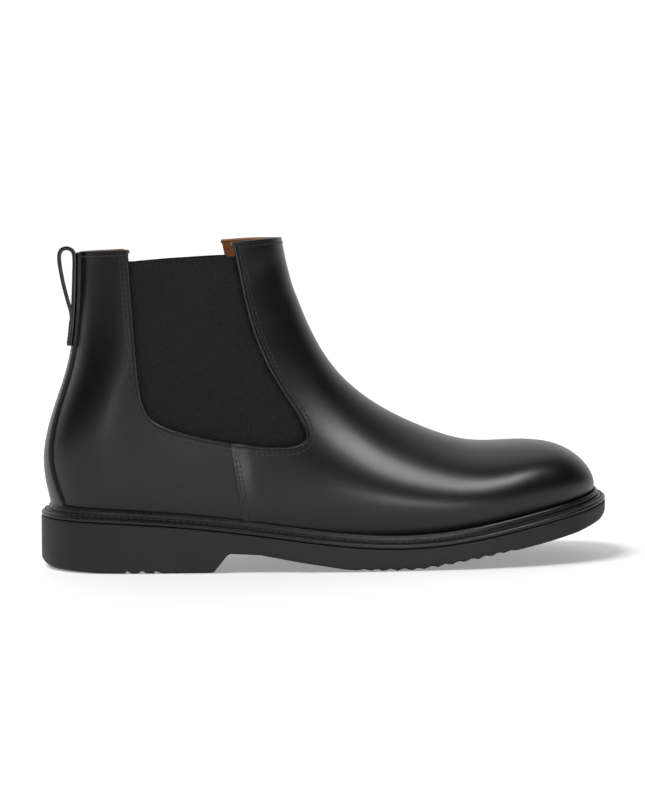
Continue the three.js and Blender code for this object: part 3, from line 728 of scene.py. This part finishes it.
# Stitching: waxed black thread. Each stitch is a short bar that sinks a little into the leather at its ends.
# Two rows run round each gore, two along each side seam, and one along the top line and the backstay's edges.
STITCH = {"pitch": 2.7, "length": 2.0, "radius": 0.3, "tilt": 0.12}
STITCH_LIFT = 0.1  # height of a stitch's middle over the leather
BAR_ALONG = (-0.5, -0.32, 0.32, 0.5)  # shares of a stitch's length
BAR_ROUND = (0.45, 1, 1, 0.45)  # shares of its radius there
BAR_SIDES = 6
thread_colours = ((0.02, 0.02, 0.021), (0.09, 0.09, 0.095))
thread = surface_material("black thread", *thread_colours, (0.5, 0.7), 0.0003, 0.00005)


def stitches(name, rows, size=STITCH):
    """One object of all stitches along rows, each row given as points, directions along it and upwards."""
    template = np.array([
        (a * size["length"], u * r * size["radius"], v * r * size["radius"])
        for a, r in zip(BAR_ALONG, BAR_ROUND)
        for u, v in oval(1, 1, BAR_SIDES)
    ])
    corners = len(template)
    sides = ring_faces(len(BAR_ALONG), BAR_SIDES)
    sides += [tuple(range(BAR_SIDES)), tuple(range(corners - BAR_SIDES, corners))[::-1]]
    points, faces = [], []
    for centre, way, up in rows:
        over = np.cross(way, up)
        turned = way * math.cos(size["tilt"]) + over * math.sin(size["tilt"])
        over = np.cross(turned, up)
        for c, a, b, u in zip(centre, turned, over, up):
            faces += [tuple(len(points) * corners + k for k in face) for face in sides]
            points.append(c + template[:, :1] * a + template[:, 1:2] * b + template[:, 2:] * u)
    return dress(new_piece(name, np.concatenate(points), faces), thread)


def row_over(points, normal):
    """Stitches at an even pitch along a line on a surface: places, directions along it and upwards."""
    centre = even(points, STITCH["pitch"])
    nearest = np.argmin(((points[None] - centre[:, None]) ** 2).sum(-1), axis=1)
    return centre, heading(centre), normal[nearest]


def row_on_last(line, sign, out, step=0.5):
    """A row of stitches over a side-view line, at a height over the last."""
    fine = even(np.asarray(line, float), step)
    return row_over(*lifted(*on_last(fine, sign), np.full(len(fine), out)))


GORE_ROWS = (2.3, 4.3)  # from the window's edge
SEAM_ROWS = (1.6, 3.4)  # in front of the vamp's edge
SEAM_SPAN = {"x": -50, "from_seat": 1, "top": 60.5, "steps": 60}  # where the side seam's rows start and end
TOP_ROW = 2.6  # below the top line
TOP_ROW_ENDS = 6  # places of the rim that its row leaves free at either end
for side, sign in SIDES.items():
    rows = []
    for inset in GORE_ROWS:
        line = shifted(window_line(side, FINE_STEP), -inset)
        line = line[line[:, 1] < top_z(line[:, 0], side) - TOP_ROW]
        raised = lap_lift(line)
        centre, way, up = row_on_last(line, sign, STITCH_LIFT)
        lift = np.array([raised[np.argmin(((line - (c[0], c[2])) ** 2).sum(1))] for c in centre])
        rows.append((centre + up * lift[:, None], way, up))
    stitches(f"gore_stitches_{side}", rows)
    z = np.linspace(seat(SEAM_SPAN["x"]) + SEAM_SPAN["from_seat"], SEAM_SPAN["top"], SEAM_SPAN["steps"])
    rows = []
    for ahead in SEAM_ROWS:
        line = np.stack([side_seam_x(z) + ahead, z], axis=1)
        lapped = LAP * (1 - smoothstep(ahead, 0, LAP_WIDTH))
        rows.append(row_on_last(line, sign, lapped + STITCH_LIFT))
    stitches(f"side_seam_stitches_{side}", rows)
rows = []
for at_front in (True, False):
    points, normal = rim_points(at_front, -STITCH_LIFT, TOP_ROW)
    rows.append(row_over(points[TOP_ROW_ENDS:-TOP_ROW_ENDS], normal[TOP_ROW_ENDS:-TOP_ROW_ENDS]))
stitches("top_line_stitches", rows)

BACKSTAY_ROW = {"inset": 1.6, "low": 36, "high": 162, "step": 1.5, "sunk": 0.12}
BACK_QUARTER = 0.55 * np.pi  # the backstay lies beyond this angle


def on_back(y, z, sign):
    """Section and angle of the last's points at these heights and distances from the middle, at the back."""
    low, high = np.full(len(z), BACK_QUARTER), np.full(len(z), np.pi)
    first, last = np.full(len(z), BACK_FROM), np.full(len(z), TOP)

    def section(phi):
        return first_past(first, last, lambda t: last_point(t, sign * phi)[:, 2] < z)

    def outside(phi):
        return np.abs(last_point(section(phi), sign * phi)[:, 1]) > y

    phi = first_past(low, high, outside)
    return section(phi), sign * phi


rows = []
sewn = (strip_side[:, 1] > BACKSTAY_ROW["low"]) & (strip_side[:, 1] < BACKSTAY_ROW["high"])
line = even(strip_side[sewn], BACKSTAY_ROW["step"])
for sign in SIDES.values():
    t, phi = on_back(line[:, 0] - BACKSTAY_ROW["inset"], line[:, 1], sign)
    out = -BACKSTAY_DEPTH[0] - BACKSTAY_ROW["sunk"]
    rows.append(row_over(*lifted(t, phi, np.full(len(t), out))))
stitches("backstay_stitches", rows)

# Storm welt: a moulded rubber strip round the whole boot. A bead lies against the upper, and beyond a groove
# a stitched lane runs out to a rounded edge.
WELT = [
    (0.3, -6.7), (5.7, -6.7), (6.25, -6.1), (6.3, -5.0), (5.6, -4.2), (4.4, -3.7), (3.2, -3.25), (2.75, -3.9),
    (2.25, -3.6), (2.35, -2.4), (2.2, -0.9), (1.4, -0.05), (0.5, -0.3),
]
WELT_ROW = {"out": 4.3, "height": -3.45, "pitch": 3.4, "length": 2.3, "radius": 0.34, "tilt": 0}
LEAN = (0.92, 0.35)  # how far the top of a welt stitch faces upwards and outwards
OUTLINE_STEPS = 260
ROUNDINGS = 2


def seam_outline():
    """Points of the welt seam in plan and their outward directions, the lateral side first."""
    t = heel_end * np.sin(np.pi / 2 * np.arange(OUTLINE_STEPS + 1) / OUTLINE_STEPS)
    lateral, medial = (last_point(t, sign * seam_angle(t)) for sign in (-1, 1))
    points = np.concatenate([lateral, medial[-2:0:-1]])
    way = unit((np.roll(points, -1, axis=0) - np.roll(points, 1, axis=0))[:, :2])
    return points[:, :2], np.stack([-way[:, 1], way[:, 0]], axis=1)


SEAM, OUT = seam_outline()


def rounded(section, times=ROUNDINGS):
    """A closed outline with its corners cut off again and again."""
    p = np.array(section, float)
    for _ in range(times):
        after = np.roll(p, -1, axis=0)
        p = np.stack([p * 0.75 + after * 0.25, p * 0.25 + after * 0.75], axis=1).reshape(-1, 2)
    return p


def band(name, section):
    """A closed band round the seam, its section given as [out from the seam, height from it]."""
    plan = SEAM[:, None] + OUT[:, None] * section[None, :, :1]
    points = np.concatenate([plan, (seat(plan[..., 0]) + section[None, :, 1])[..., None]], axis=2)
    return new_piece(name, points.reshape(-1, 3), ring_faces(*points.shape[:2], closed=True))


WELT_BLACK = ((0.008, 0.008, 0.009), (0.02, 0.02, 0.021))
welt_rubber = surface_material("welt rubber", *WELT_BLACK, (0.26, 0.36), 0.0011, 0.00002)
welt = band("storm_welt", rounded(WELT))
dress(welt, welt_rubber, replaces=["welt"])
plan = SEAM + OUT * WELT_ROW["out"]
row = np.column_stack([plan, seat(plan[:, 0]) + WELT_ROW["height"]])
centre = even(np.vstack([row, row[:1]]), WELT_ROW["pitch"])[:-1]
way = unit(np.roll(centre, -1, axis=0) - np.roll(centre, 1, axis=0))
outwards = unit(np.cross(way, (0, 0, 1)))
facing = np.sign((outwards * (centre - centre.mean(0))).sum(1))[:, None]
lean = np.array((0, 0, LEAN[0])) + outwards * LEAN[1] * facing
welt_stitches = stitches("welt_stitches", [(centre, way, unit(lean))], WELT_ROW)
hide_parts("welt_stitching")

# Unit sole: one piece of matt black rubber with its heel. Lugs cut across the tread show as a scalloped lower
# edge at the forefoot, and as three small notches at the heel.
SOLE_EDGE = 6.4
SOLE_TOP = -7.0
SOLE_ROUND = 0.8  # of the upper edge
TREAD_ROUND = 2.6  # of the lower edge
TREAD_FLAT = 0.6  # of its height, because that edge is flatter than round
ROUND_CUTS = 6
WALL_SHARES = (0.25, 0.5, 0.75)
TOP_INSIDE = -10  # the sole's top runs this far in from the seam
TREAD_INSETS = (3, 12)
UNDERSIDE = [
    (-158, 7), (-151.6, 2.2), (-147, 0.9), (-125, 0), (-65.8, 0), (-58.1, 9.8), (-41.5, 9), (-21, 5),
    (2, 1.2), (18, 0), (40, 0), (54, 1.8), (66, 3.8), (80.8, 6.4), (105.7, 10.9), (130.5, 16), (146, 20.4),
    (151.4, 23.6), (154, 26.8), (159, 30.5),
]
LUGS = {"from": 8, "to": 98, "pitch": 7.2, "depth": 1.2, "crest": 0.7, "fade_in": 6, "fade_out": 12}
HEEL_NOTCHES = (-110, -102.5, -95)
NOTCH = {"width": 1.1, "depth": 1.3}


def underside(x):
    """Height of the tread, with its lugs and notches, at places along the boot."""
    z = np.interp(x, [x for x, _ in UNDERSIDE], [z for _, z in UNDERSIDE])
    first, last = LUGS["from"], LUGS["to"]
    wave = 0.5 - 0.5 * np.cos(2 * np.pi * (x - first) / LUGS["pitch"])
    begun = smoothstep(x, first, first + LUGS["fade_in"])
    ended = smoothstep(x, last - LUGS["fade_out"], last)
    z = z + LUGS["depth"] * wave ** LUGS["crest"] * begun * (1 - ended)
    for notch in HEEL_NOTCHES:
        z = z + NOTCH["depth"] * np.exp(-(((x - notch) / NOTCH["width"]) ** 4))
    return z


def make_sole():
    """Rings from the top's inner part over the wall to the underside, and a cap across the tread."""
    bend = np.linspace(0, np.pi / 2, ROUND_CUTS)
    rings = []

    def ring(out, height):
        plan = SEAM + OUT * out
        rings.append(np.column_stack([plan, height(plan[:, 0])]))

    def top(x, drop=0.0):
        return seat(x) + SOLE_TOP - drop

    ring(TOP_INSIDE, top)
    for a in bend:
        drop = SOLE_ROUND * (1 - math.cos(a))
        ring(SOLE_EDGE - SOLE_ROUND * (1 - math.sin(a)), lambda x, drop=drop: top(x, drop))
    for share in WALL_SHARES:
        ring(SOLE_EDGE, lambda x, s=share: top(x) * (1 - s) + underside(x) * s)
    for a in bend:
        rise = TREAD_ROUND * TREAD_FLAT * (1 - math.sin(a))
        ring(SOLE_EDGE - TREAD_ROUND * (1 - math.cos(a)), lambda x, rise=rise: underside(x) + rise)
    for inset in TREAD_INSETS:
        ring(SOLE_EDGE - TREAD_ROUND - inset, underside)
    n = len(SEAM)
    faces = ring_faces(len(rings), n)
    for first in (0, (len(rings) - 1) * n):
        for i in range(n // 2):
            faces.append((first + i, first + i + 1, first + (n - i - 1) % n, first + (n - i) % n))
    return new_piece("unit_sole", np.concatenate(rings), [tuple(dict.fromkeys(face)) for face in faces])


SOLE_BLACK = ((0.016, 0.0145, 0.0165), (0.026, 0.024, 0.027))
sole_rubber = surface_material("sole rubber", *SOLE_BLACK, (0.5, 0.62), 0.0008, 0.00004)
sole = make_sole()
dress(sole, sole_rubber, replaces=["outsole"])

# Pull loop: a strip of calf folded double, sewn to the backstay by its foot, the loop above the seam free.
LOOP = {"width": 14, "strip": 2.0, "pressed": 1.1, "root": 131, "foot": 15, "crown": 168}
LOOP_FRONT = (0.02, 0.3, 0.6, 0.86)
LOOP_BACK = [(-1.2, 0.95), (-4.1, 0.98), (-7, 0.945), (-7.9, 0.82), (-6.2, 0.52), (-3.9, 0.26), (-1.9, 0.04)]
PRESSED_TO = (124, 136)  # heights between which the strip comes to its full thickness
FOOT_ENDS = (0.4, 8)  # heights over the foot's end at which the strip lies flat
STRIP_CORNER = 0.4


def back_x(z):
    """Outer face of the backstay on the back line, at a height."""
    low, high = np.full(len(z), heel_end), np.full(len(z), TOP)
    t = first_past(low, high, lambda t: last_point(t, np.pi)[:, 2] < z)
    return last_point(t, np.pi)[:, 0] + BACKSTAY_DEPTH[0]


def strip_at(z):
    """Thickness of the strip at a height."""
    return np.interp(z, PRESSED_TO, (LOOP["pressed"], LOOP["strip"]))


def strap_path():
    """The middle of the strip in side view, up the backstay, over the crown and down again."""
    rise = LOOP["crown"] - LOOP["root"]
    low = LOOP["root"] - LOOP["foot"] + np.array(FOOT_ENDS)
    up = np.concatenate([low, LOOP["root"] + rise * np.array(LOOP_FRONT)])
    front = np.column_stack([back_x(up) - strip_at(up) / 2, up])
    crown = back_x(np.array([LOOP["crown"]]))[0] - LOOP["strip"] / 2
    back = [(crown + dx, LOOP["root"] + rise * f) for dx, f in LOOP_BACK]
    down = low[::-1]
    ends = np.column_stack([back_x(down) - strip_at(down) * 1.5, down])
    return smooth_line(np.vstack([front, back, ends]), 1.0)


def rounded_bar(w, h, r):
    """A rectangle's outline with rounded corners, from its half sizes."""
    corners = [(w - r, -h + r, -90), (w - r, h - r, 0), (-w + r, h - r, 90), (-w + r, -h + r, 180)]
    return np.array([
        (u + r * math.cos(math.radians(first + a)), v + r * math.sin(math.radians(first + a)))
        for u, v, first in corners
        for a in (0, 30, 60, 90)
    ])


path = strap_path()
centre = np.column_stack([path[:, 0], np.zeros(len(path)), path[:, 1]])
across = np.tile((0.0, 1.0, 0.0), (len(path), 1))
thin = strip_at(path[:, 1])[:, None] / LOOP["strip"]
section = rounded_bar(LOOP["width"] / 2, LOOP["strip"] / 2, STRIP_CORNER)
strap = sweep("pull_strap", centre, across, np.cross(heading(centre), across) * thin, section)
dress(strap, calf, body=None, replaces=["pull_loop", "pull_loop_foot"])
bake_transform(strap)

FOOT_BOX = {"half_width": 5, "low": 118, "high": 128, "pitch": 2.16}  # the sewn box on the strip's foot
outer_half = path[len(path) // 2 :][::-1]


def on_foot(y, z):
    """Places on the outer face of the strip's foot, with the directions out of it."""
    x = np.interp(z, outer_half[:, 1], outer_half[:, 0]) - strip_at(z) / 2
    return np.column_stack([x, y, z]), np.tile((-1.0, 0.0, 0.0), (len(z), 1))


rows = []
y, low, high = FOOT_BOX["half_width"], FOOT_BOX["low"], FOOT_BOX["high"]
for ends in ([(-y, low), (-y, high)], [(y, low), (y, high)], [(-y, low), (y, low)], [(-y, high), (y, high)]):
    line = even(np.array(ends, float), FOOT_BOX["pitch"])
    centre, up = on_foot(line[:, 0], line[:, 1])
    rows.append((centre, heading(centre), up))
stitches("pull_strap_stitches", rows)

# Hidden inside: insole board, heel pad, cork filler, steel shank and the stiffeners keep their solid shape
# and get the finish of what they are made of. The tan sock liner shows at the bottom of the shaft.
INNER = {
    "sock_liner": ("tan sock leather", *TAN, (0.5, 0.62), 0.0009, 0.00004),
    "insole_board": ("insole fibre board", (0.3, 0.19, 0.09), (0.5, 0.34, 0.18), (0.8, 0.9), 0.0007, 0.00006),
    "heel_pad": ("pad foam", (0.05, 0.08, 0.12), (0.1, 0.14, 0.19), (0.85, 0.95), 0.0012, 0.00015),
    "bottom_filler": ("ground cork", (0.22, 0.11, 0.04), (0.55, 0.34, 0.17), (0.85, 0.95), 0.002, 0.0003),
    "heel_counter": ("counter fibre", (0.16, 0.09, 0.05), (0.34, 0.21, 0.12), (0.75, 0.9), 0.0009, 0.00006),
    "toe_puff": ("puff cloth", (0.5, 0.45, 0.35), (0.72, 0.67, 0.56), (0.8, 0.9), 0.0006, 0.00006),
    "topline_tape_front": ("tape cloth", (0.55, 0.5, 0.4), (0.75, 0.7, 0.6), (0.8, 0.9), 0.0006, 0.00006),
}
inner_finish = {node: surface_material(*given) for node, given in INNER.items()}
inner_finish["topline_tape_rear"] = inner_finish["topline_tape_front"]
STEEL = ((0.28, 0.28, 0.3), (0.42, 0.42, 0.44))
inner_finish["shank"] = surface_material("shank steel", *STEEL, (0.3, 0.5), 0.0004, 0.00001)
inner_finish["shank"].node_tree.nodes["Principled BSDF"].inputs["Metallic"].default_value = 1
for node, finish in inner_finish.items():
    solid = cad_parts[node]
    solid.data.materials.clear()
    solid.data.materials.append(finish)


# The studio: a pale floor, white surroundings, an even sun for the floor, and softboxes that draw the
# leather's highlights.
def make_floor():
    bpy.ops.object.select_all(action="DESELECT")
    bpy.ops.mesh.primitive_circle_add(vertices=96, radius=14, fill_type="NGON")
    floor = bpy.context.object
    floor.name = "floor"
    material = bpy.data.materials.new("pale floor")
    material.use_nodes = True
    shader = material.node_tree.nodes["Principled BSDF"]
    shader.inputs["Base Color"].default_value = (0.95, 0.95, 0.95, 1)
    shader.inputs["Roughness"].default_value = 0.6
    shader.inputs["Specular IOR Level"].default_value = 0.2
    shader.inputs["Emission Strength"].default_value = 0.3
    nodes, links = material.node_tree.nodes, material.node_tree.links
    path = nodes.new("ShaderNodeLightPath")
    links.new(path.outputs["Is Camera Ray"], shader.inputs["Emission Color"])
    floor.data.materials.append(material)


def make_surroundings():
    """White where the camera looks, and for the boot a sky that is bright behind and dim in front."""
    world = bpy.data.worlds.new("studio")
    bpy.context.scene.world = world
    world.use_nodes = True
    nodes, links = world.node_tree.nodes, world.node_tree.links
    out = nodes["World Output"]
    seen = nodes["Background"]
    seen.inputs["Color"].default_value = (1, 1, 1, 1)
    seen.inputs["Strength"].default_value = 1.02
    where = nodes.new("ShaderNodeTexCoord")
    parts = nodes.new("ShaderNodeSeparateXYZ")
    links.new(where.outputs["Generated"], parts.inputs["Vector"])
    ramp = nodes.new("ShaderNodeMapRange")
    ramp.interpolation_type = "SMOOTHSTEP"
    ramp.inputs["From Min"].default_value = 0.05
    ramp.inputs["From Max"].default_value = 0.95
    ramp.inputs["To Min"].default_value = 0.03
    ramp.inputs["To Max"].default_value = 1.1
    links.new(parts.outputs["Y"], ramp.inputs["Value"])
    lit = nodes.new("ShaderNodeBackground")
    links.new(ramp.outputs["Result"], lit.inputs["Strength"])
    path = nodes.new("ShaderNodeLightPath")
    mix = nodes.new("ShaderNodeMixShader")
    links.new(path.outputs["Is Camera Ray"], mix.inputs["Fac"])
    links.new(lit.outputs["Background"], mix.inputs[1])
    links.new(seen.outputs["Background"], mix.inputs[2])
    links.new(mix.outputs["Shader"], out.inputs["Surface"])


def soft_light(name, place, target, size, power, along=(0, 0, 1), highlight_only=True):
    """A rectangular softbox, its second side along a direction. It may be for highlights only."""
    data = bpy.data.lights.new(name, "AREA")
    data.shape = "RECTANGLE"
    data.size, data.size_y = size
    data.energy = power
    lamp = bpy.data.objects.new(name, data)
    bpy.context.scene.collection.objects.link(lamp)
    lamp.location = place
    back = (Vector(place) - Vector(target)).normalized()
    side = Vector(along).cross(back).normalized()
    lamp.rotation_euler = Matrix((side, back.cross(side), back)).transposed().to_euler()
    lamp.visible_camera = False
    lamp.visible_diffuse = not highlight_only


def wide_sun(strength, spread, towards):
    """Even light with soft shadows from the upper left, which leaves no highlight of its own."""
    data = bpy.data.lights.new("wide_sun", "SUN")
    data.energy = strength
    data.angle = math.radians(spread)
    lamp = bpy.data.objects.new("wide_sun", data)
    bpy.context.scene.collection.objects.link(lamp)
    lamp.rotation_euler = Vector(towards).to_track_quat("-Z", "Y").to_euler()
    lamp.visible_glossy = False


make_floor()
make_surroundings()
wide_sun(2.3, 30, (0.5, 0.15, -0.85))
soft_light("overhead", (0.1, 0.45, 1.4), (0, 0, 0), (1.4, 0.8), 2, (0, 1, 0), highlight_only=False)
soft_light("key", (0.51, -0.71, 1.0), (0.02, -0.04, 0.06), (0.2, 0.62), 6.5, (-0.38, -0.84, -0.38))
soft_light("heel_strip", (-0.62, -1.22, 0.08), (-0.12, -0.03, 0.08), (0.1, 0.34), 0.8)
soft_light("front_strip", (0.24, -1.15, 0.1), (0.04, 0, 0.03), (0.4, 0.12), 1.6)

camera_data = bpy.data.cameras.new("camera")
camera_data.sensor_width = 36
camera_data.lens = 93.1
camera = bpy.data.objects.new("camera", camera_data)
bpy.context.scene.collection.objects.link(camera)
camera.location = (-0.1588, -1.1054, 0.1758)
camera.rotation_euler = (Vector((-0.0035, 0, 0.084)) - camera.location).to_track_quat("-Z", "Y").to_euler()
bpy.context.scene.camera = camera
bpy.context.scene.view_settings.view_transform = "Standard"
